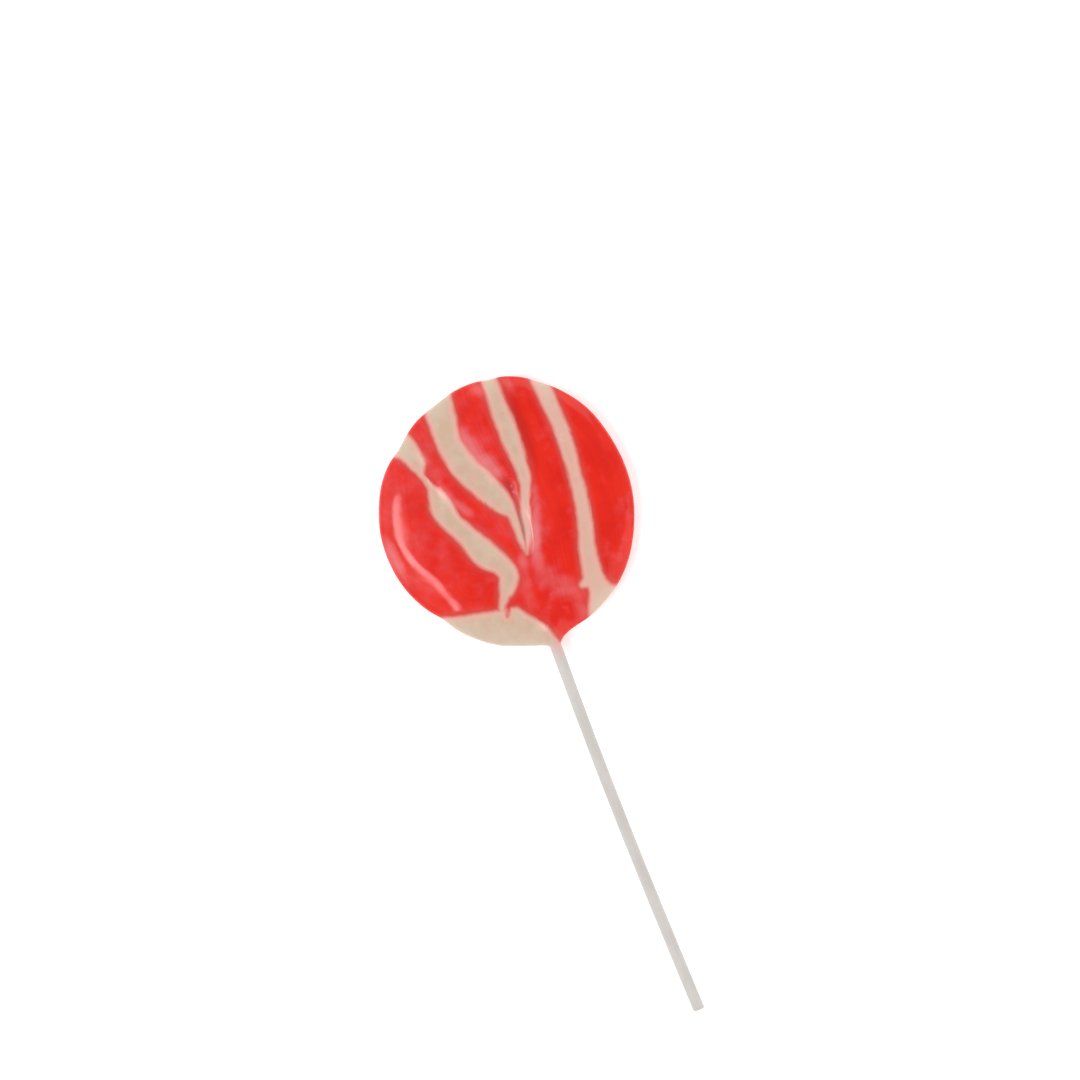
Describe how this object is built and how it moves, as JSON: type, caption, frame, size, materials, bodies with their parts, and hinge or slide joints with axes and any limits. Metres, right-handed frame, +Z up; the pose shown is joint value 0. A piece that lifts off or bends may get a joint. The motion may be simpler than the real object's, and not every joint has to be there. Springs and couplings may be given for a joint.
{
  "type": "swirl lollipop",
  "caption": "Round pressed lollipop of folded, striped hard candy with a pinched crease in its middle, on a long slim paper stick; it lies flat on its back.",
  "frame": {"origin": "middle of the candy disc's flat back face, on the surface that the lollipop lies on", "axes": "+Z up, out of the swirled front; +Y from the stick's free end to the candy, along the stick; +X across the stick to the right, seen from the front with the candy away from the viewer"},
  "size_m": [0.0753, 0.1962, 0.0101],
  "materials": {
    "hard_candy": "glossy boiled sugar, red with cream seams",
    "stick_paper": "matt rolled paper"
  },
  "bodies": {
    "root": {"candy": "hard_candy", "stick": "stick_paper"}
  },
  "joints": []
}
